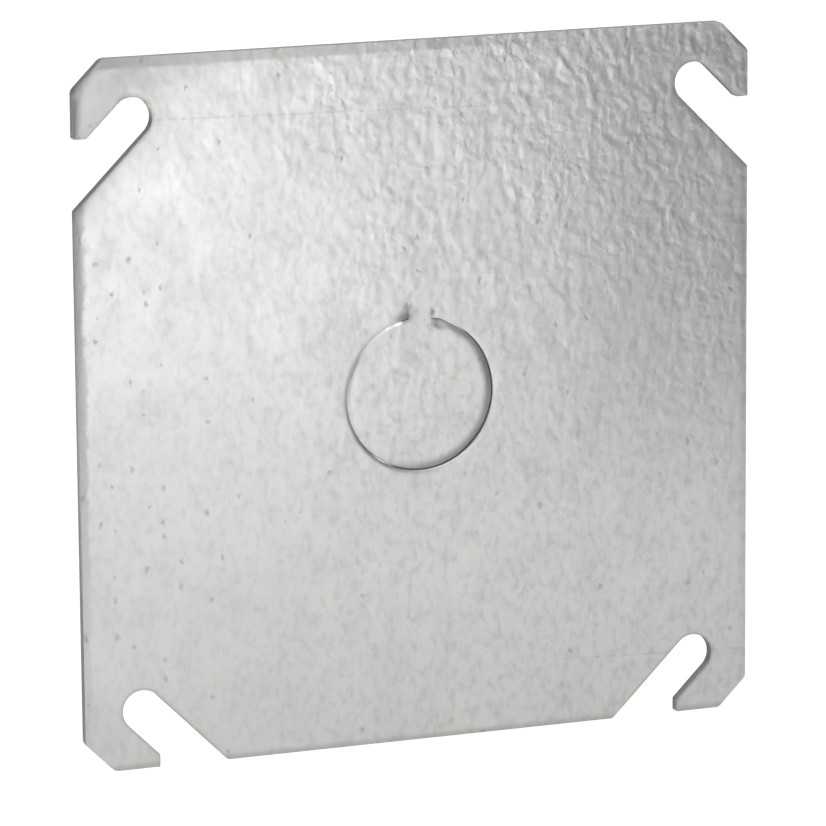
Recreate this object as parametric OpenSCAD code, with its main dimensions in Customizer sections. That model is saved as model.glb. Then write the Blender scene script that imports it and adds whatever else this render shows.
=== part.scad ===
// Flat cover for a 4 in square electrical box: one pressed sheet with four
// open-ended screw slots and a round knockout held by one bent tie.
// Millimetres. X is right, Z is up, and Y points from the front face into the
// box. The origin is the centre of the back face, the one that meets the box.

/* [Sheet] */
// Width and height of the square sheet
cover_w = 101.6; // [98:0.1:104]
// Thickness of the steel
sheet_t = 1.6; // [1.2:0.1:2]
// Length that each corner cut takes off an edge
corner_cut = 4.3; // [3:0.1:6]
// Radius at both ends of a corner cut
corner_r = 1.3; // [1:0.1:3]

/* [Screw slots] */
// Distance between the round ends of neighbouring slots
slot_pitch = 84.6; // [82:0.1:86]
// Width of a slot, which takes a No. 8 cover screw
slot_w = 5.9; // [5:0.1:6.4]
// Distance from the sheet's centre line to the square tip of each hook
hook_tip = 39.8; // [39.2:0.1:40.4]

/* [Knockout] */
// Diameter of the hole that the knockout leaves, half inch trade size
hole_d = 22.2; // [20:0.1:28]
// Gap round the sheared edge of the knockout
shear_gap = 0.11; // [0.08:0.01:0.2]
// How far the knockout sits below the front face
slug_sink = 0.3; // [0.1:0.05:0.5]
// Width of the tie
tie_w = 3.4; // [2:0.1:5]
// Length of the tie on each side of the sheared edge
tie_reach = 1.2; // [0.8:0.1:2]

/* [Hidden] */
$fn = 96;
over = 2; // how far a cutting shape runs past an edge
half_w = cover_w / 2;
slot_at = slot_pitch / 2;
hole_r = hole_d / 2;
slug_r = hole_r - shear_gap;
tie_top = hole_r + tie_reach;
tie_bottom = hole_r - tie_reach;
bend_top = hole_r + tie_reach / 2;
bend_bottom = hole_r - tie_reach / 2;
steel = "#c6c9c9";
slug_steel = "#bcc0c0";
tie_steel = "#aeb2b3";

// Stands an outline drawn in X and Y upright as sheet metal, its back face at Y = 0.
module pressed(thickness) {
    rotate([90, 0, 0]) linear_extrude(thickness) children();
}

// Takes off one end of a corner cut to leave the rounding corner_r. The corner
// is the upper right one, and this is the cut's upper end.
module corner_rounding() {
    tangent = corner_r * tan(22.5);
    translate([half_w - corner_cut, half_w]) difference() {
        polygon([
            [-tangent, 0],
            [0, tangent],
            [tangent * cos(45), -tangent * sin(45)],
            [-tangent, -corner_r]
        ]);
        translate([-tangent, -corner_r]) circle(r = corner_r);
    }
}

// All that is cut away at the upper right corner.
module corner_waste() {
    translate([half_w, half_w]) rotate(45) square(corner_cut * sqrt(2), center = true);
    corner_rounding();
    mirror([1, -1]) corner_rounding();
}

// The slot of the upper right corner. It runs down and out at 45 degrees from
// its round end, and leaves a hook with a square tip above its mouth.
module screw_slot() {
    run = (half_w + over - slot_at) * sqrt(2);
    tip_x = 2 * slot_at + slot_w / sqrt(2) - hook_tip;
    translate([slot_at, slot_at]) {
        circle(d = slot_w);
        rotate(-45) translate([0, -slot_w / 2]) square([run, slot_w]);
    }
    translate([tip_x, hook_tip - over]) square([half_w + over - tip_x, over]);
}

// The upper slots open on the sides, and the lower ones on the bottom edge.
module screw_slots() {
    for (side = [0, 1]) mirror([side, 0])
        for (turn = [0, -90]) rotate(turn) screw_slot();
}

module tie_notch() {
    translate([-tie_w / 2, tie_bottom]) square([tie_w, 2 * tie_reach]);
}

module cover_plate() {
    color(steel) pressed(sheet_t) difference() {
        square(cover_w, center = true);
        for (turn = [0:90:270]) rotate(turn) corner_waste();
        screw_slots();
        circle(r = hole_r);
        tie_notch();
    }
}

module knockout_slug() {
    color(slug_steel) translate([0, slug_sink, 0]) pressed(sheet_t) difference() {
        circle(r = slug_r);
        tie_notch();
    }
}

// The strip that the shear leaves whole. It steps back by slug_sink, and it is
// the hinge that bends when the knockout is pushed in.
module knockout_tie() {
    color(tie_steel) translate([-tie_w / 2, 0, 0]) rotate([90, 0, 90]) linear_extrude(tie_w)
        polygon([
            [0, tie_top],
            [-sheet_t, tie_top],
            [-sheet_t, bend_top],
            [slug_sink - sheet_t, bend_bottom],
            [slug_sink - sheet_t, tie_bottom],
            [slug_sink, tie_bottom],
            [slug_sink, bend_bottom],
            [0, bend_top]
        ]);
}

cover_plate();
knockout_slug();
knockout_tie();
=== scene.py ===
"""A flat pressed-steel cover for a square electrical box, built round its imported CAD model.

The sheet, the knockout and the tie that holds it are meshes of their own: each one is
an outline, filled on both faces and joined by sheared walls. Lengths are in millimetres
until a mesh is made. X is right, Z is up, and the front face looks along -Y.
"""

import math

import bmesh
import bpy
import numpy as np
from mathutils import Matrix, Vector, noise
from mathutils.geometry import delaunay_2d_cdt


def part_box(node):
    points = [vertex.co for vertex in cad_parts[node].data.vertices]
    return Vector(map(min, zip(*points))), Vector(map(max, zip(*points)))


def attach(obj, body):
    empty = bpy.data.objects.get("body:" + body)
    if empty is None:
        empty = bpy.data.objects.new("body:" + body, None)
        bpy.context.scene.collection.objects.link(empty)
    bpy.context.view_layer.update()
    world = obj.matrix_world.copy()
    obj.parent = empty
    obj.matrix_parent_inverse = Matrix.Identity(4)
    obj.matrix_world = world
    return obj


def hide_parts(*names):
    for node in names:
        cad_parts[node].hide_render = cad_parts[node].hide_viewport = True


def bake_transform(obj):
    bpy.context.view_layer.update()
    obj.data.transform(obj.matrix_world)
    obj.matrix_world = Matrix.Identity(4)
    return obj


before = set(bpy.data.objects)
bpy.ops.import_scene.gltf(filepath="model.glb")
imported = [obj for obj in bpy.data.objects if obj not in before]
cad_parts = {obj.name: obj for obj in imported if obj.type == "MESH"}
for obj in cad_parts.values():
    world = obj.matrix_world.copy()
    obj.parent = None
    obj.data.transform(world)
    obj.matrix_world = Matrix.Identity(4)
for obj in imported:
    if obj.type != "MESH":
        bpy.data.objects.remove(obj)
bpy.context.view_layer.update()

scene = bpy.context.scene
MM = 0.001

# Sizes that the CAD model fixes
plate_low, plate_high = (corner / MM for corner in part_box("cover_plate"))
slug_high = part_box("knockout_slug")[1] / MM
tie_low, tie_high = (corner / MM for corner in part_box("knockout_tie"))
HALF = plate_high.x
THICK = plate_high.y - plate_low.y
SINK = slug_high.y
SLUG_R = slug_high.x
TIE_HALF = tie_high.x
TIE_TOP = tie_high.z
TIE_BOTTOM = tie_low.z
HINGE_Z = (TIE_TOP + TIE_BOTTOM) / 2
HOLE_R = 11.1
CORNER_CUT = 4.3
CORNER_R = 1.3
SLOT_AT = 42.3
SLOT_R = 2.95
HOOK_TIP = 39.8
SLOT_MOUTH = 2 * SLOT_AT - HALF - SLOT_R * math.sqrt(2)
TIP_X = 2 * SLOT_AT + SLOT_R * math.sqrt(2) - HOOK_TIP

# Spacing of the mesh's points
EDGE_STEP = 0.5       # along an outline
ARC_STEP = 0.22       # round a corner's arc
CIRCLE_STEP = 0.3     # round the knockout
SEAM_STEP = 0.2       # round the tie
CREASE_STEP = 0.15    # along the wedge's creases
FINE_STEP = 0.24      # near the tie, and how far that reaches
FINE_RADIUS = 4.5
SAME_POINT = 0.02     # points this near to each other count as one
FRONT_RINGS = (0.03, 0.08, 0.16, 0.27, 0.42, 0.62, 0.88, 1.15, 1.4, 1.7)
BACK_RINGS = (0.15, 0.5, 1.1)
WALL_ROWS = (0.1, 0.25, 0.4, 0.47, 0.6, 0.75, 0.9)
BLOCK = 2000          # points measured at a time, which limits the memory used

# How the shear leaves its edges
TIP_R = 0.15          # rounding of the hook tips and slot mouths
EDGE_ROLL = 1.3       # width of the rolled edge on the front, outside and on the knockout
EDGE_DROP = 0.15      # its depth outside
SLUG_DROP = 0.21      # its depth on the knockout
CUT_ROLL = 0.6        # width of the rolled edge at a corner cut
HOLE_ROLL = 0.7       # width and depth of the rolled edge round the hole
HOLE_DROP = 0.11
SLOT_RIM = 0.7        # width of the painted shade round the slots
SLOPE_WIDTH = 1.4     # the slope along the top edge, and its depths at the left and right
SLOPE_LEFT = 0.15
SLOPE_RIGHT = 0.02
BURNISH_END = 0.42    # share of the wall that the punch leaves smooth
TEAR = 0.035          # how far the torn part of a wall falls back
TEAR_SPREAD = 0.03    # how much that varies
TEAR_LINE = -0.92     # Y where the torn part starts to show
BURR = 0.03           # height of the burr on the back
BURR_WIDTH = 0.15
SHARP = math.radians(34)    # a fold tighter than this stays sharp

# The wedge that the die's heel leaves beside the tie
WEDGE_STEP = 0.08     # width of the step down to it
WEDGE_REACH = 2.6     # how far it runs left
WEDGE_RISE = 2.7      # how far it runs up and down from the hinge line
WEDGE_DEPTH = 0.45
WEDGE_CREASE = 2.9    # how far up from the hinge line its creases run


# ---------------------------------------------------------------- outlines

def arc_at(before, corner, after, radius):
    """Points of the arc that rounds one corner of an outline."""
    into = (corner - before).normalized()
    out = (after - corner).normalized()
    turn = math.atan2(into.x * out.y - into.y * out.x, into.dot(out))
    run = radius * math.tan(abs(turn) / 2)
    side = math.copysign(radius, turn)
    centre = corner - into * run + Vector((-into.y, into.x)) * side
    start = corner - into * run - centre
    count = max(4, math.ceil(radius * abs(turn) / ARC_STEP))
    return [centre + Matrix.Rotation(turn * k / count, 2) @ start for k in range(count + 1)]


def rounded(corners):
    """A closed outline through (x, z, radius) corners."""
    points = []
    for i, (x, z, radius) in enumerate(corners):
        before = Vector(corners[i - 1][:2])
        after = Vector(corners[(i + 1) % len(corners)][:2])
        arc = arc_at(before, Vector((x, z)), after, radius)
        meets_last = points and (arc[0] - points[-1]).length < 1e-4
        points += arc[1:] if meets_last else arc
    return points


def stepped(points, step, closed=True):
    """The same line with points added where they are further apart than step."""
    line = []
    ends = points[1:] + points[:1] if closed else points[1:]
    for a, b in zip(points, ends):
        count = max(1, round((b - a).length / step))
        line += [a.lerp(b, k / count) for k in range(count)]
    return line if closed else line + [points[-1]]


def sheet_outline():
    """Outside of the sheet, clockwise from the top of the upper right corner cut."""
    slot_end = SLOT_AT + SLOT_R * math.sqrt(2)
    slot_back = SLOT_AT - SLOT_R * math.sqrt(2)
    upper = [
        (HALF - CORNER_CUT, HALF, CORNER_R),
        (HALF, HALF - CORNER_CUT, CORNER_R),
        (HALF, HOOK_TIP, TIP_R),
        (TIP_X, HOOK_TIP, TIP_R),
        (SLOT_AT, slot_end, SLOT_R),
        (slot_back, SLOT_AT, SLOT_R),
        (HALF, SLOT_MOUTH, TIP_R),
    ]
    lower = [(z, -x, radius) for x, z, radius in upper]
    right = upper + lower
    left = [(-x, z, radius) for x, z, radius in reversed(right)]
    return stepped(rounded(right + left), EDGE_STEP)


def upright_line(x, low, high):
    """Points of a crease that runs straight up the front."""
    line = stepped([Vector((x, low)), Vector((x, high))], CREASE_STEP, closed=False)
    return np.array([tuple(point) for point in line])


def circle_points(radius, first, last):
    """Points round the knockout's shear line from one angle to another, in radians."""
    count = math.ceil(abs(last - first) * radius / CIRCLE_STEP)
    turns = [first + (last - first) * k / count for k in range(count + 1)]
    return [Vector((radius * math.cos(a), radius * math.sin(a))) for a in turns]


def tied_circle(radius, tie_end, clockwise):
    """A shear circle with its notch for the tie, and which of its points the shear cuts."""
    meet = math.acos(TIE_HALF / radius)
    side_z = radius * math.sin(meet)
    if clockwise:
        first = -TIE_HALF
        ring = circle_points(radius, meet, -math.pi - meet)
    else:
        first = TIE_HALF
        ring = circle_points(radius, math.pi - meet, 2 * math.pi + meet)
    corners = [(first, side_z), (first, tie_end), (-first, tie_end), (-first, side_z)]
    seam = stepped([Vector(corner) for corner in corners], SEAM_STEP, closed=False)
    points = seam + ring[1:-1]
    free = [False] * len(seam) + [True] * (len(ring) - 2)
    return points, free


class Loop:
    """A closed outline with the metal on its right, as arrays of points and inward normals."""

    def __init__(self, points, free=None):
        self.at = np.array([tuple(p) for p in points])
        self.free = np.ones(len(points), bool) if free is None else np.array(free)
        ahead = np.roll(self.at, -1, 0) - self.at
        ahead /= np.linalg.norm(ahead, axis=1)[:, None]
        along = ahead + np.roll(ahead, 1, 0)
        along /= np.linalg.norm(along, axis=1)[:, None]
        self.inward = np.stack([along[:, 1], -along[:, 0]], 1)

    def segments(self, only_free=False):
        """Start and end points of the outline's segments."""
        ends = np.roll(self.at, -1, 0)
        keep = self.free | np.roll(self.free, -1) if only_free else np.ones(len(self.at), bool)
        return self.at[keep], ends[keep]


def nearest(points, starts, ends):
    """Distance from each point to the closest segment, and where it meets it."""
    best = np.zeros(len(points))
    where = np.zeros((len(points), 2))
    run = ends - starts
    length = (run ** 2).sum(1)
    for first in range(0, len(points), BLOCK):
        block = points[first:first + BLOCK]
        gap = block[:, None] - starts[None]
        share = np.clip((gap * run[None]).sum(2) / length[None], 0, 1)
        meet = starts[None] + share[..., None] * run[None]
        away = np.linalg.norm(block[:, None] - meet, axis=2)
        pick = away.argmin(1)
        rows = np.arange(len(block))
        best[first:first + BLOCK] = away[rows, pick]
        where[first:first + BLOCK] = meet[rows, pick]
    return best, where


def inside(points, starts, ends):
    """Which points a ray to the right of them leaves through an odd number of segments."""
    odd = np.zeros(len(points), bool)
    x, z = points.T
    for (ax, az), (bx, bz) in zip(starts, ends):
        if az != bz:
            crosses = (az > z) != (bz > z)
            odd ^= crosses & (x < ax + (z - az) * (bx - ax) / (bz - az))
    return odd


def hexes(low, high, step):
    """A triangular grid of points over a rectangle."""
    rise = step * math.sqrt(3) / 2
    rows = []
    for j, z in enumerate(np.arange(low[1], high[1], rise)):
        x = np.arange(low[0] + (j % 2) * step / 2, high[0], step)
        rows.append(np.stack([x, np.full(len(x), z)], 1))
    return np.concatenate(rows)


def filled(loops, rings, step, fine=None, creases=()):
    """Triangles between loops. fine = (centre, radius, step) asks for a denser patch."""
    starts = np.concatenate([loop.segments()[0] for loop in loops])
    ends = np.concatenate([loop.segments()[1] for loop in loops])
    points = [loop.at for loop in loops]
    edges = []
    base = 0
    for loop in loops:
        count = len(loop.at)
        edges += [(base + i, base + (i + 1) % count) for i in range(count)]
        base += count
    for crease in creases:
        points.append(crease)
        edges += [(base + i, base + i + 1) for i in range(len(crease) - 1)]
        base += len(crease)
    for distance in rings:
        # Points that an inward corner pushes too near to another stretch are left out
        ring = np.concatenate([
            loop.at[loop.free] + loop.inward[loop.free] * distance for loop in loops])
        away, _ = nearest(ring, starts, ends)
        ring = ring[away > 0.985 * distance]
        # Inside a tight corner the points run together, and one of them is enough
        _, apart = np.unique(np.round(ring / SAME_POINT), axis=0, return_index=True)
        points.append(ring[np.sort(apart)])
    low = loops[0].at.min(0)
    high = loops[0].at.max(0)
    grid = hexes(low, high, step)
    margin = rings[-1] + step * 0.45
    if fine:
        centre, radius, fine_step = fine
        patch = hexes(np.array(centre) - radius, np.array(centre) + radius, fine_step)
        patch = patch[np.linalg.norm(patch - centre, axis=1) < radius]
        away, _ = nearest(patch, starts, ends)
        patch = patch[away > fine_step * 0.5]
        points.append(patch)
        grid = grid[np.linalg.norm(grid - centre, axis=1) > radius + step * 0.4]
    away, _ = nearest(grid, starts, ends)
    points.append(grid[away > margin])
    outline_points = points[:len(loops) + len(creases)]
    spread = np.concatenate(points[len(outline_points):])
    every = np.concatenate(outline_points + [spread[inside(spread, starts, ends)]])
    flat = [Vector((float(x), float(z))) for x, z in every]
    verts, _, faces, origin, _, _ = delaunay_2d_cdt(flat, edges, [], 0, 1e-5)
    verts = np.array([tuple(v) for v in verts])
    kept = inside(verts[np.array(faces)].mean(1), starts, ends)
    faces = [face for face, keep in zip(faces, kept) if keep]
    loop_total = sum(len(loop.at) for loop in loops)
    to_new = {}
    for new, olds in enumerate(origin):
        for old in olds:
            if old < loop_total:
                to_new[old] = new
    return verts, faces, [to_new[i] for i in range(loop_total)]


# ------------------------------------------------------- relief of the faces

def smooth(value, start, end):
    """0 before start, 1 after end, and an S curve between them."""
    share = np.clip((value - start) / (end - start), 0, 1)
    return share * share * (3 - 2 * share)


def roll(distance, width, drop, power=2.0):
    """Depth of a rolled edge, which steepens towards the wall and runs out at width."""
    return drop * np.clip(1 - distance / width, 0, 1) ** power


def waves(points, size, seed):
    """Smooth noise from 0 to 1 at each point."""
    return np.array([
        0.5 + 0.5 * noise.noise(Vector((x / size, z / size, seed))) for x, z in points])


def from_tie(points):
    """Distance from the middle of the tie."""
    return np.linalg.norm(points - np.array([0, HINGE_Z]), axis=1)


def tie_end_fade(points):
    """0 beside the tie, where the shear runs out, and 1 further round the circle."""
    above = points[:, 1] > 0
    return np.where(above, smooth(np.abs(points[:, 0]), TIE_HALF, TIE_HALF + 1.3), 1)


def blob(points, centre, radii, tilt=0.0):
    """A rounded hollow, 1 in its middle and 0 outside the ellipse."""
    c, s = math.cos(tilt), math.sin(tilt)
    gap = points - np.array(centre)
    u = (gap[:, 0] * c + gap[:, 1] * s) / radii[0]
    v = (gap[:, 1] * c - gap[:, 0] * s) / radii[1]
    return smooth(1 - np.sqrt(u * u + v * v), 0, 1)


def in_slot(meet):
    """1 where a point of the sheet's outline is in a slot, and 0 on the outside."""
    across = np.abs(meet)
    to_cut = (2 * HALF - CORNER_CUT - across.sum(1)) / math.sqrt(2)
    return smooth(np.minimum(HALF - across.max(1), to_cut), 0, 2.5)


def plate_front(points):
    """Depth of the sheet's front face behind its highest plane."""
    away, meet = nearest(points, *outer.segments())
    top = smooth(meet[:, 1], HALF - 3.5, HALF - 0.5)
    # The roll is shallower in the slots, and shallower and narrower at the corner cuts
    drop = EDGE_DROP * (1 - top) * (1 - 0.65 * in_slot(meet))
    at_cut = smooth(np.abs(meet).sum(1), 2 * HALF - CORNER_CUT - 1, 2 * HALF - CORNER_CUT)
    drop *= 1 - 0.4 * at_cut
    depth = roll(away, EDGE_ROLL + (CUT_ROLL - EDGE_ROLL) * at_cut, drop)
    # The top edge has a flat slope in place of the roll
    slope = SLOPE_LEFT + (SLOPE_RIGHT - SLOPE_LEFT) * smooth(points[:, 0], -HALF * 0.4, HALF * 0.6)
    depth += roll(HALF - points[:, 1], SLOPE_WIDTH, slope, power=1.05)
    away, meet = nearest(points, *hole.segments(only_free=True))
    depth += roll(away, HOLE_ROLL, HOLE_DROP) * tie_end_fade(meet)
    # The sheet isn't quite flat, but it meets the tie at its true height
    calm = smooth(from_tie(points), 3.5, 9)
    depth += calm * (0.035 * waves(points, 21, 4.3) + 0.007 * waves(points, 6.5, 9.1))
    # The die's heel leaves a wedge left of the tie, and a softer bruise right of it
    beside = np.maximum(-TIE_HALF - WEDGE_STEP - points[:, 0], 0) / WEDGE_REACH
    above = np.abs(points[:, 1] - HINGE_Z) / WEDGE_RISE
    wedge = np.clip(1 - beside - above, 0, 1)
    wedge *= np.clip((-TIE_HALF - points[:, 0]) / WEDGE_STEP, 0, 1)
    depth += WEDGE_DEPTH * wedge ** 1.4
    depth += 0.08 * blob(points, (2.2, 11.9), (0.9, 0.8))
    # The hole's rim is dragged down further at its upper right
    rim_side = smooth(meet[:, 0], 1.8, 3.2) * smooth(meet[:, 0], 7.5, 4.5) * (meet[:, 1] > 0)
    depth += roll(away, 0.9, 0.1) * rim_side
    return depth


def slug_front(points):
    """Depth of the knockout's front face behind its own plane."""
    away, meet = nearest(points, *slug.segments(only_free=True))
    depth = roll(away, EDGE_ROLL, SLUG_DROP, power=2.3) * tie_end_fade(meet)
    calm = smooth(from_tie(points), 3.5, 8)
    depth += calm * (0.02 * waves(points, 14, 7.7) + 0.005 * waves(points, 5, 2.2))
    depth += 0.1 * blob(points, (3.1, 9.75), (1.35, 0.75), tilt=-0.35)
    return depth


def burr(points, loop):
    """Height of the burr that the shear pushes up on the back."""
    away, _ = nearest(points, *loop.segments(only_free=True))
    return BURR * np.clip(1 - away / BURR_WIDTH, 0, 1)


# ------------------------------------------------------------------- meshes

def finish_mesh(name, verts, faces, walls):
    """Makes the object from points in millimetres, with sharp edges kept sharp."""
    mesh = bpy.data.meshes.new(name)
    mesh.from_pydata([tuple(v * MM) for v in verts], [], faces)
    form = bmesh.new()
    form.from_mesh(mesh)
    form.faces.ensure_lookup_table()
    for index in walls:
        form.faces[index].material_index = 1
    bmesh.ops.recalc_face_normals(form, faces=form.faces)
    for face in form.faces:
        face.smooth = True
    for edge in form.edges:
        if len(edge.link_faces) == 2 and edge.calc_face_angle() > SHARP:
            edge.smooth = False
    form.to_mesh(mesh)
    form.free()
    rest = mesh.attributes.new("rest_mm", "FLOAT_VECTOR", "POINT")
    rest.data.foreach_set("vector", np.array(verts, np.float32).ravel())
    mesh.materials.append(zinc)
    mesh.materials.append(sheared)
    piece = bpy.data.objects.new(name, mesh)
    scene.collection.objects.link(piece)
    return piece


def pressed(name, loops, front, back, step, fine, creases=()):
    """A sheet-metal piece: two filled faces joined by sheared walls."""
    face_points, face_tris, face_rim = filled(loops, FRONT_RINGS, step, fine, creases)
    back_points, back_tris, back_rim = filled(loops, BACK_RINGS, step * 1.7)
    front_y = front(face_points)
    back_y = back(back_points)
    verts = [np.array((x, y, z)) for (x, z), y in zip(face_points, front_y)]
    base = len(verts)
    verts += [np.array((x, y, z)) for (x, z), y in zip(back_points, back_y)]
    faces = [list(f) for f in face_tris]
    faces += [[base + i for i in reversed(f)] for f in back_tris]
    walls = []
    rim = 0
    for loop in loops:
        count = len(loop.at)
        rows = [[face_rim[rim + i] for i in range(count)]]
        for share in WALL_ROWS:
            row = []
            for i in range(count):
                x, z = loop.at[i]
                near = front_y[face_rim[rim + i]]
                far = back_y[back_rim[rim + i]]
                recess = 0.0
                if loop.free[i] and share > BURNISH_END:
                    ragged = noise.noise(Vector((x * 0.9, z * 0.9, share * 2)))
                    recess = TEAR + TEAR_SPREAD * ragged
                x += loop.inward[i][0] * recess
                z += loop.inward[i][1] * recess
                row.append(len(verts))
                verts.append(np.array((x, near + (far - near) * share, z)))
            rows.append(row)
        rows.append([base + back_rim[rim + i] for i in range(count)])
        for upper, lower in zip(rows, rows[1:]):
            for i in range(count):
                j = (i + 1) % count
                walls.append(len(faces))
                faces.append([upper[i], upper[j], lower[j], lower[i]])
        rim += count
    return finish_mesh(name, verts, faces, walls)


def mark_slot_rims(piece):
    """Marks the front beside the slots, from 1 at their edges to 0, for the material's painted
    shade.
    """
    rest = np.array([tuple(vertex.co / MM) for vertex in piece.data.vertices])
    away, meet = nearest(rest[:, [0, 2]], *outer.segments())
    marks = roll(away, SLOT_RIM, 1.0) * in_slot(meet) * (rest[:, 1] < -THICK / 2)
    rims = piece.data.attributes.new("slot_rim", "FLOAT", "POINT")
    rims.data.foreach_set("value", marks.astype(np.float32))


def tie_strip(name):
    """The strip that the shear leaves whole. It steps back from the sheet to the knockout."""
    columns = 15
    rows = 31
    layers = 5
    verts = []
    index = {}
    for k in range(layers):
        for j in range(rows):
            for i in range(columns):
                if 0 < k < layers - 1 and 0 < j < rows - 1 and 0 < i < columns - 1:
                    continue
                x = TIE_HALF * (2 * i / (columns - 1) - 1)
                z = TIE_TOP + (TIE_BOTTOM - TIE_TOP) * j / (rows - 1)
                step_back = SINK * float(smooth(z, TIE_TOP - 0.7, TIE_BOTTOM + 0.05))
                y = -THICK + THICK * k / (layers - 1) + step_back
                index[i, j, k] = len(verts)
                verts.append(np.array((x, y, z)))

    def quad(i, j, k, across, down):
        """The face from one grid point that takes a step in each of two directions."""
        steps = ((0, 0, 0), across, tuple(a + b for a, b in zip(across, down)), down)
        return [index[i + di, j + dj, k + dk] for di, dj, dk in steps]

    right, below, deeper = (1, 0, 0), (0, 1, 0), (0, 0, 1)
    faces = []
    for j in range(rows - 1):
        for i in range(columns - 1):
            faces += [quad(i, j, k, right, below) for k in (0, layers - 1)]
    face_count = len(faces)
    for k in range(layers - 1):
        for j in range(rows - 1):
            faces += [quad(i, j, k, below, deeper) for i in (0, columns - 1)]
        for i in range(columns - 1):
            faces += [quad(i, j, k, right, deeper) for j in (0, rows - 1)]
    return finish_mesh(name, verts, faces, walls=range(face_count, len(faces)))


# ---------------------------------------------------------------- materials

WARM_ZINC = (0.83, 0.82, 0.80, 1)
COOL_ZINC = (0.807, 0.815, 0.80, 1)
# Dark zinc: painted shade at the upper right and along the top and bottom edges, and the darkening
# low down
DARK_ZINC_AND_SHADE = (0.385, 0.43, 0.435, 1)
# Bright zinc: the painted highlight at the left, and the scuffs
SCUFF_AND_HIGHLIGHT_ZINC = (0.92, 0.92, 0.905, 1)
# Flecks, and the painted shade in the upper left corner
FLECK_AND_SHADE = (0.42, 0.42, 0.41, 1)
# Pits and scratches, and painted shade along edges, rims and the dents beside the tie
PIT_AND_SHADE = (0.26, 0.26, 0.25, 1)
BURNISHED = (0.54, 0.54, 0.53, 1)
TORN = (0.48, 0.48, 0.47, 1)
GRAIN = (0.34, 0.34, 0.33, 1)

# Cells of the zinc's relief, as (x, y, z) widths, and the heights that they reach
RIPPLE_CELL = (1.5, 1.5, 2.3)
RIPPLE_HEIGHT = 0.06
SPECKLE_CELL = (1.15, 1.15, 1.15)
SPECKLE_HEIGHT = 0.036
SWELL_CELL = (3.6, 3.6, 5.0)
SWELL_LOW = 0.045     # at the upper left
SWELL_HIGH = 0.093    # from the middle to the lower right
PIT_DEPTH = 0.025
FINE_PIT_DEPTH = 0.012
BACK_SHIFT = 41.3     # how far the cells on the back are moved, so that its pits are others

SCRATCH_WIDTH = 0.24
SCUFF_WIDTH = 0.42
# Spots of painted shade in the dents beside the tie
TIE_SHADE_SPOTS = (
    # x, z, reach, share
    (-2.2, 11.2, 1.5, 0.8),
    (-1.8, 12.7, 1.1, 0.5),
    (1.9, 11.7, 0.9, 0.35),
    (3.0, 9.9, 1.2, 0.3),
    (-0.9, 10.3, 0.9, 0.2),
)
SCRATCHES = (
    ((-39.6, 41.9), (9.5, 40.9)),
    ((15.2, -40.8), (50.5, -42.1)),
)
SCUFFS = (
    ((24.8, 46.2), (25.1, 42.8)),
    ((25.1, 42.8), (27.9, 39.1)),
    ((27.9, 39.1), (28.5, 36.4)),
    ((26.2, -34.6), (26.3, -35.6)),
)


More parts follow.
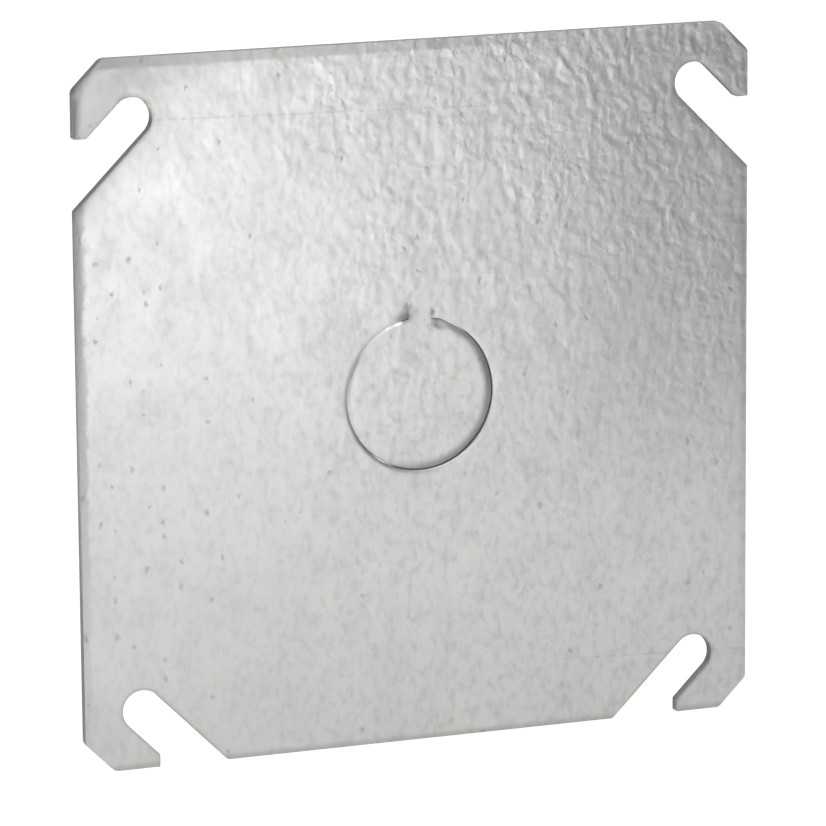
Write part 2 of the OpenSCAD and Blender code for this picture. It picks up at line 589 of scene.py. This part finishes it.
class Nodes:
    """Short calls for building a material's node tree. A call returns the node's output."""

    def __init__(self, name):
        self.material = bpy.data.materials.new(name)
        self.material.use_nodes = True
        self.tree = self.material.node_tree
        self.shader = self.tree.nodes["Principled BSDF"]

    def put(self, socket, value):
        """Links a node's output to a socket, or sets the socket to a plain value."""
        if isinstance(value, bpy.types.NodeSocket):
            self.tree.links.new(value, socket)
        else:
            socket.default_value = value

    def give(self, name, value):
        """Links or sets one of the shader's own sockets."""
        self.put(self.shader.inputs[name], value)

    def math(self, operation, a, b=0.0):
        """One operation on two numbers."""
        node = self.tree.nodes.new("ShaderNodeMath")
        node.operation = operation
        self.put(node.inputs[0], a)
        self.put(node.inputs[1], b)
        return node.outputs[0]

    def add(self, a, b):
        return self.math("ADD", a, b)

    def times(self, a, b):
        return self.math("MULTIPLY", a, b)

    def weighted(self, x, x_weight, z, z_weight):
        """How far a point lies along a direction, or any other sum of two weighted numbers."""
        return self.add(self.times(x, x_weight), self.times(z, z_weight))

    def span(self, value, low, high, to_low=0.0, to_high=1.0, smooth_ends=True):
        """to_low where value is low, to_high where it is high, and a curve between them."""
        node = self.tree.nodes.new("ShaderNodeMapRange")
        node.interpolation_type = "SMOOTHSTEP" if smooth_ends else "LINEAR"
        for socket, given in zip(node.inputs, (value, low, high, to_low, to_high)):
            self.put(socket, given)
        return node.outputs[0]

    def place(self):
        """The point's place on the object at rest, in millimetres."""
        node = self.tree.nodes.new("ShaderNodeAttribute")
        node.attribute_name = "rest_mm"
        return node.outputs["Vector"]

    def mark(self, name):
        """A number that the mesh carries at each of its points."""
        node = self.tree.nodes.new("ShaderNodeAttribute")
        node.attribute_name = name
        return node.outputs["Fac"]

    def parts(self, vector):
        """The x, y and z of a vector, or the red, green and blue of a colour."""
        node = self.tree.nodes.new("ShaderNodeSeparateXYZ")
        self.put(node.inputs[0], vector)
        return node.outputs

    def scaled(self, vector, cell, shift=(0, 0, 0)):
        """The place counted in cells of the given widths."""
        node = self.tree.nodes.new("ShaderNodeMapping")
        self.put(node.inputs["Vector"], vector)
        node.inputs["Location"].default_value = shift
        node.inputs["Scale"].default_value = tuple(1 / width for width in cell)
        return node.outputs[0]

    def flat(self, vector, cell, shift=0.0):
        """The place on the face in cells of a width and height, other cells on the back."""
        x, y, z = self.parts(vector)
        on_back = self.math("GREATER_THAN", y, -THICK / 2)
        shift = self.add(self.times(on_back, BACK_SHIFT), shift)
        node = self.tree.nodes.new("ShaderNodeCombineXYZ")
        self.put(node.inputs[0], self.add(self.times(x, 1 / cell[0]), shift))
        self.put(node.inputs[1], self.add(self.times(z, 1 / cell[1]), shift))
        return node.outputs[0]

    def noise(self, vector, detail=2.0, rough=0.5, output="Fac"):
        """Smooth noise with one hump or hollow to a cell."""
        node = self.tree.nodes.new("ShaderNodeTexNoise")
        self.put(node.inputs["Vector"], vector)
        node.inputs["Scale"].default_value = 1.0
        node.inputs["Detail"].default_value = detail
        node.inputs["Roughness"].default_value = rough
        return node.outputs[output]

    def jitter(self, vector, detail, rough=0.5):
        """Noise in three directions, from -0.5 to 0.5."""
        colour = self.noise(vector, detail, rough, output="Color")
        return self.vector_math("SUBTRACT", colour, (0.5, 0.5, 0.5))

    def moved(self, vector, way, reach):
        """A place moved along a vector that is scaled by reach."""
        return self.vector_math("ADD", vector, self.vector_math("SCALE", way, reach))

    def spots(self, grid, share, radius):
        """Round spots in some cells of a flat grid: share of the cells, radius in cells."""
        node = self.tree.nodes.new("ShaderNodeTexVoronoi")
        node.voronoi_dimensions = "2D"
        self.put(node.inputs["Vector"], grid)
        node.inputs["Scale"].default_value = 1.0
        red, green, _ = self.parts(node.outputs["Color"])
        chosen = self.math("LESS_THAN", red, share)
        size = self.span(green, 0, 1, radius * 0.4, radius, smooth_ends=False)
        return self.times(self.span(node.outputs["Distance"], size, 0.0), chosen)

    def vector_math(self, operation, a, b):
        """One operation on two vectors, or on a vector and a number to scale it by."""
        node = self.tree.nodes.new("ShaderNodeVectorMath")
        node.operation = operation
        self.put(node.inputs[0], a)
        self.put(node.inputs["Scale" if operation == "SCALE" else 1], b)
        return node.outputs["Value" if operation == "DISTANCE" else "Vector"]

    def tint(self, share, low, high):
        """Mixes two colours. The share may be a product, given as a tuple of its factors."""
        if isinstance(share, tuple):
            product = share[0]
            for factor in share[1:]:
                product = self.times(product, factor)
            share = product
        node = self.tree.nodes.new("ShaderNodeMix")
        node.data_type = "RGBA"
        self.put(node.inputs[0], share)
        self.put(node.inputs[6], low)
        self.put(node.inputs[7], high)
        return node.outputs[2]

    def stroke(self, x, z, start, end, width):
        """1 along the middle of a scratch from start to end, and 0 beside it."""
        run = Vector(end) - Vector(start)
        length = run.length
        run /= length
        across = Vector((-run.y, run.x))
        along = self.add(self.weighted(x, run.x, z, run.y), -run.dot(Vector(start)))
        off = self.add(self.weighted(x, across.x, z, across.y), -across.dot(Vector(start)))
        in_width = self.span(self.math("ABSOLUTE", off), width, 0.0)
        past_start = self.span(along, -width, width)
        before_end = self.span(along, length + width, length - width)
        return self.times(in_width, self.times(past_start, before_end))

    def bump(self, height, distance):
        """The normal of a relief, whose height is counted in distances."""
        node = self.tree.nodes.new("ShaderNodeBump")
        node.inputs["Strength"].default_value = 1.0
        node.inputs["Distance"].default_value = distance
        self.put(node.inputs["Height"], height)
        return node.outputs[0]


def edge_painted_shade(n, base, x, z, ragged_x, front):
    """Paints shade into the pressed edges: every outside edge but the right, and the slots' edges.
    """
    # Painted shade: the bottom edge is darkened in colour
    bottom = n.span(z, -HALF + 1.2, -HALF + 0.2)
    base = n.tint((bottom, 0.5), base, DARK_ZINC_AND_SHADE)
    # Painted shade on the slope along the top edge
    slope = n.span(z, HALF - 1.6, HALF - 1.2)
    base = n.tint((slope, front, n.span(x, 40, 10, 0.05, 0.16)), base, DARK_ZINC_AND_SHADE)
    # Painted shade on the left edge's roll, with a ragged inner border
    left = n.span(ragged_x, -HALF + 1.5, -HALF + 0.7)
    base = n.tint((left, front, n.span(z, -45, 15, 0.12, 0.42)), base, PIT_AND_SHADE)
    # Painted shade along the slots' rolled edges
    return n.tint((n.mark("slot_rim"), 0.5), base, PIT_AND_SHADE)


def knockout_painted_shade(n, base, x, z, radius, front):
    """Paints shade on the knockout's rim at its lower right, and on the hole's rim at the left."""
    # Painted shade on the knockout's rim at its lower right
    rim = n.times(
        n.span(radius, SLUG_R - 1.6, SLUG_R - 0.4), n.math("LESS_THAN", radius, SLUG_R + 0.05))
    lower_right = n.span(n.weighted(x, 0.85, z, -0.52), -2, 8.5)
    base = n.tint((rim, lower_right, front, 0.72), base, PIT_AND_SHADE)
    # Painted shade on the hole's rim at the left
    rim = n.times(
        n.span(radius, HOLE_R + 0.6, HOLE_R + 0.1), n.math("GREATER_THAN", radius, HOLE_R - 0.05))
    left = n.span(n.weighted(x, -0.9, z, -0.3), 0, 8)
    return n.tint((rim, left, front, 0.4), base, PIT_AND_SHADE)


def shade_and_damage(n, base, x, z, place, wander, front):
    """Painted shade in the die's dents beside the tie, and the scratches."""
    near_by = n.moved(place, wander, 0.9)
    # Painted shade: darker colour in the dents beside the tie
    for spot_x, spot_z, reach, share in TIE_SHADE_SPOTS:
        away = n.vector_math("DISTANCE", near_by, (spot_x, -THICK, spot_z))
        base = n.tint((n.span(away, reach, reach * 0.2, 0.0, share), front), base, PIT_AND_SHADE)
    # A long scratch from the upper left slot, a broken one low down, and bright scuffs
    broken = n.noise(n.scaled(place, (1.6, 1.6, 1.6), (9, 9, 9)), detail=1.5)
    broken = n.span(broken, 0.38, 0.6)
    for start, end in SCRATCHES:
        scratch = n.stroke(x, z, start, end, SCRATCH_WIDTH)
        base = n.tint((scratch, broken, front, 0.24), base, PIT_AND_SHADE)
    for start, end in SCUFFS:
        scuff = n.stroke(x, z, start, end, SCUFF_WIDTH)
        base = n.tint((scuff, front, 0.45), base, SCUFF_AND_HIGHLIGHT_ZINC)
    return base


def zinc_material():
    """Hot-dipped zinc rolled with the sheet: fine upright ripples, dull spots and pits."""
    n = Nodes("galvanised_zinc")
    place = n.place()
    x, y, z = n.parts(place)
    front = n.math("LESS_THAN", y, -THICK / 2)
    radius = n.math("SQRT", n.add(n.times(x, x), n.times(z, z)))
    # A slow wander of the pattern, so that the ripples aren't ruled lines
    wander = n.jitter(n.scaled(place, (4, 4, 4)), detail=1.5)
    bent = n.moved(place, wander, 1.7)

    # The relief is boldest towards the upper right and faint at the lower left
    ripples = n.noise(n.scaled(bent, RIPPLE_CELL), detail=0.8, rough=0.4)
    speckle = n.noise(n.scaled(bent, SPECKLE_CELL, (5, 1, 3)), detail=0.6, rough=0.4)
    swell = n.noise(n.scaled(bent, SWELL_CELL, (2, 8, 1)), detail=1.5)
    patch = n.noise(n.scaled(place, (17, 17, 17), (4, 4, 9)), detail=2)
    boldness = n.add(n.weighted(x, 0.0075, z, 0.008), patch)
    relief = n.span(boldness, -0.1, 1.0, 0.75, 1.35)
    grainy = n.span(boldness, 0.45, 1.2, 0.3, 2.3)
    grainy = n.add(grainy, n.times(n.math("LESS_THAN", radius, SLUG_R), 0.7))
    swell_height = n.span(n.math("SUBTRACT", x, z), -85, 5, SWELL_LOW, SWELL_HIGH)
    height = n.times(ripples, n.times(relief, RIPPLE_HEIGHT))
    height = n.add(height, n.times(speckle, n.times(grainy, SPECKLE_HEIGHT)))
    height = n.add(height, n.times(swell, swell_height))

    # Pits: a few large ones, mostly near the left edge, and fine ones where it is grainy
    ragged = n.moved(bent, n.jitter(n.scaled(place, (0.55, 0.55, 0.9)), detail=2, rough=0.6), 1.1)
    pit_share = n.span(x, -HALF, -HALF / 3, 0.2, 0.04)
    pit = n.spots(n.flat(ragged, (2.3, 3.4)), pit_share, 0.27)
    fine_share = n.span(grainy, 0.6, 1.9, 0.0, 0.5)
    fine_pit = n.spots(n.flat(bent, (1.3, 1.4), 7.0), fine_share, 0.38)
    height = n.add(height, n.times(pit, -PIT_DEPTH))
    height = n.add(height, n.times(fine_pit, -FINE_PIT_DEPTH))
    n.give("Normal", n.bump(height, MM))

    # Colour: clouds from faintly warm to faintly blue, a painted highlight at the left,
    # painted shade at the upper right and in the upper left corner, and a little darker low down
    cloud = n.noise(n.scaled(place, (15, 15, 15), (7, 2, 5)), detail=2.5, rough=0.55)
    base = n.tint(n.span(cloud, 0.35, 0.65), WARM_ZINC, COOL_ZINC)
    # Painted highlight: the colour is brighter round the left of the middle
    left_highlight = n.span(n.vector_math("DISTANCE", place, (-30, 0, 8)), 38, 8)
    base = n.tint((left_highlight, 0.4), base, SCUFF_AND_HIGHLIGHT_ZINC)
    below_slope = n.span(z, HALF - 1.0, HALF - 1.7)
    # Painted shade at the upper right
    upper_right_shade = n.times(n.span(x, 16, 36), n.span(z, -25, 12))
    base = n.tint((upper_right_shade, below_slope, front, 0.32), base, DARK_ZINC_AND_SHADE)
    # Painted shade in the upper left corner
    upper_left_shade = n.span(n.weighted(x, -0.7, z, 0.7), 51, 67)
    base = n.tint((upper_left_shade, front, 0.7), base, FLECK_AND_SHADE)
    base = n.tint((n.span(z, 10, -40), 0.07), base, DARK_ZINC_AND_SHADE)
    base = edge_painted_shade(n, base, x, z, n.parts(ragged)[0], front)
    base = knockout_painted_shade(n, base, x, z, radius, front)

    # Flecks, stains and the dirt in the pits
    flecks = n.noise(n.scaled(bent, (1.0, 1.0, 1.6), (3, 3, 3)), detail=2, rough=0.55)
    stain = n.noise(n.scaled(bent, (3.2, 3.2, 4.2), (6, 3, 1)), detail=2, rough=0.55)
    flecked = n.span(flecks, 0.42, 0.75, 0.0, n.span(x, -HALF * 0.7, 5, 0.16, 0.28))
    dull = n.add(flecked, n.span(stain, 0.4, 0.7, 0.0, 0.08))
    base = n.tint(dull, base, FLECK_AND_SHADE)
    base = n.tint((pit, 0.45), base, PIT_AND_SHADE)
    base = n.tint((fine_pit, 0.16), base, PIT_AND_SHADE)
    base = shade_and_damage(n, base, x, z, place, wander, front)
    n.give("Base Color", base)
    rough = n.add(n.span(swell, 0.3, 0.7, 0.275, 0.325), n.times(dull, 0.2))
    n.give("Roughness", rough)
    n.give("Metallic", 1.0)
    return n.material


def sheared_material():
    """A cut edge: a smooth band that the punch burnished, then a torn, darker one."""
    n = Nodes("sheared_steel")
    place = n.place()
    _, y, _ = n.parts(place)
    grain = n.noise(n.scaled(place, (0.22, 1.6, 0.22)), detail=3, rough=0.6)
    rubble = n.noise(n.scaled(place, (0.3, 0.25, 0.3), (3, 2, 6)), detail=3, rough=0.65)
    edge = n.noise(n.scaled(place, (1.8, 9, 1.8), (1, 5, 2)), detail=2)
    line = n.add(n.times(n.add(edge, -0.5), 0.5), TEAR_LINE)
    torn = n.span(n.math("SUBTRACT", y, line), -0.06, 0.1)
    base = n.tint(torn, BURNISHED, TORN)
    base = n.tint(n.span(grain, 0.35, 0.7, 0, 0.35), base, GRAIN)
    n.give("Base Color", base)
    n.give("Roughness", n.span(torn, 0, 1, 0.48, 0.55))
    n.give("Metallic", 1.0)
    height = n.add(n.times(grain, 0.012), n.times(rubble, n.times(torn, 0.03)))
    n.give("Normal", n.bump(height, MM))
    return n.material


def card_material(name, glow):
    """Matt, nearly white card."""
    n = Nodes(name)
    place = n.tree.nodes.new("ShaderNodeTexCoord").outputs["Object"]
    mottle = n.noise(n.scaled(place, (0.4, 0.4, 0.4)))
    base = n.tint(mottle, (0.86, 0.86, 0.86, 1), (0.88, 0.88, 0.88, 1))
    n.give("Base Color", base)
    n.give("Roughness", 0.8)
    n.give("Specular IOR Level", 0.2)
    n.give("Emission Color", (1, 1, 1, 1))
    n.give("Emission Strength", glow)
    return n.material


# ----------------------------------------------------------- build the pieces

zinc = zinc_material()
sheared = sheared_material()

outer = Loop(sheet_outline())
hole = Loop(*tied_circle(HOLE_R, TIE_TOP, clockwise=False))
slug = Loop(*tied_circle(SLUG_R, TIE_BOTTOM, clockwise=True))
wedge_top = HINGE_Z + WEDGE_CREASE
wedge_foot = upright_line(-TIE_HALF - WEDGE_STEP, HINGE_Z - 0.09, wedge_top)
wedge_brow = upright_line(-TIE_HALF, TIE_TOP + 0.1, wedge_top)

plate = pressed(
    "cover_sheet",
    [outer, hole],
    lambda points: -THICK + plate_front(points),
    lambda points: np.maximum(burr(points, outer), burr(points, hole)),
    step=1.15,
    fine=((0, HINGE_Z + 0.6), FINE_RADIUS, FINE_STEP),
    creases=(wedge_foot, wedge_brow),
)
mark_slot_rims(plate)
knockout = pressed(
    "knockout_disc",
    [slug],
    lambda points: -THICK + SINK + slug_front(points),
    lambda points: np.full(len(points), SINK),
    step=0.6,
    fine=((0, HINGE_Z - 0.8), FINE_RADIUS, FINE_STEP),
)
tie = tie_strip("knockout_tie_strip")

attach(plate, "cover")
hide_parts("cover_plate")
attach(knockout, "knockout")
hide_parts("knockout_slug")
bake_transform(tie)
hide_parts("knockout_tie")


# --------------------------------------------------------------- the studio

FLOOR_SIZE = 6
DOME_RADIUS = 2.6
WORLD_GLOW = 0.218
SPOT_HEIGHT = 0.3
SPOT_SPREAD = math.radians(50)


def floor_plane(name, glow):
    """A floor at the height that the sheet stands on."""
    bpy.ops.mesh.primitive_plane_add(size=FLOOR_SIZE, location=(0, 0, -HALF * MM))
    made = bpy.context.object
    made.name = name
    made.data.materials.append(card_material(name + "_card", glow))
    return made


def backdrop():
    """A white dome that only the camera sees."""
    bpy.ops.mesh.primitive_uv_sphere_add(segments=48, ring_count=24, radius=DOME_RADIUS)
    dome = bpy.context.object
    dome.name = "backdrop"
    n = Nodes("white_backdrop")
    n.give("Base Color", (0, 0, 0, 1))
    n.give("Emission Color", (1, 1, 1, 1))
    n.give("Emission Strength", 1.0)
    n.give("Specular IOR Level", 0.0)
    dome.data.materials.append(n.material)
    dome.visible_glossy = False
    dome.visible_diffuse = False
    dome.visible_transmission = False
    dome.visible_shadow = False


def softbox(name, at, size, power, aim=(0, 0, 0)):
    """A square light that the camera doesn't see."""
    data = bpy.data.lights.new(name, "AREA")
    data.shape = "SQUARE"
    data.size = size
    data.energy = power
    light = bpy.data.objects.new(name, data)
    scene.collection.objects.link(light)
    light.location = at
    light.rotation_euler = (Vector(aim) - Vector(at)).to_track_quat("-Z", "Y").to_euler()
    light.visible_camera = False
    return light


def floor_spot(x, y, power):
    """Lights a patch of the floor, which the upright sheet mirrors."""
    spot = softbox("floor_spot", (x, y, SPOT_HEIGHT), 0.1, power, aim=(x, y + 1e-4, 0))
    spot.data.spread = SPOT_SPREAD


def camera(at, aim, lens, level):
    """The camera. level turns it about its own axis, in degrees."""
    data = bpy.data.cameras.new("camera")
    data.lens = lens
    data.sensor_width = 36
    made = bpy.data.objects.new("camera", data)
    scene.collection.objects.link(made)
    turn = (Vector(aim) - Vector(at)).to_track_quat("-Z", "Y").to_matrix().to_4x4()
    made.matrix_world = Matrix.Translation(at) @ turn @ Matrix.Rotation(math.radians(level), 4, "Z")
    scene.camera = made


# The camera sees a floor that glows enough to photograph white. The metal sees plain card.
shown_floor = floor_plane("floor", glow=0.97)
shown_floor.visible_glossy = False
shown_floor.visible_diffuse = False
shown_floor.visible_shadow = False
bounce_floor = floor_plane("floor_bounce", glow=0.0)
bounce_floor.visible_camera = False
backdrop()

softbox("front", (0.03, -0.35, 0.25), 0.1, 0.62)
softbox("side", (-0.35, -0.2, 0.05), 0.16, 0.512)
softbox("near_glow", (0.02, -0.25, 0.03), 0.1, 0.014)
softbox("far_glow", (0.15, -0.45, 0.05), 0.15, 0.014)
floor_spot(0.08, -0.45, 0.347)
floor_spot(0.42, -0.1, 1.316)
floor_spot(0.08, -0.1, 0.026)
floor_spot(-0.08, -0.1, 0.035)
softbox("rear", (0.24, 0.95, 0.3), 0.8, 1.7)
floor_spot(-0.14, 0.25, 0.2)

world = bpy.data.worlds.new("studio")
scene.world = world
world.use_nodes = True
sky = world.node_tree.nodes["Background"]
sky.inputs["Color"].default_value = (1, 1, 1, 1)
sky.inputs["Strength"].default_value = WORLD_GLOW
scene.view_settings.view_transform = "Standard"

camera((-0.2768, -0.7351, 0.1618), (-0.00085, -0.00076, -0.00285), lens=244.97, level=-0.47)
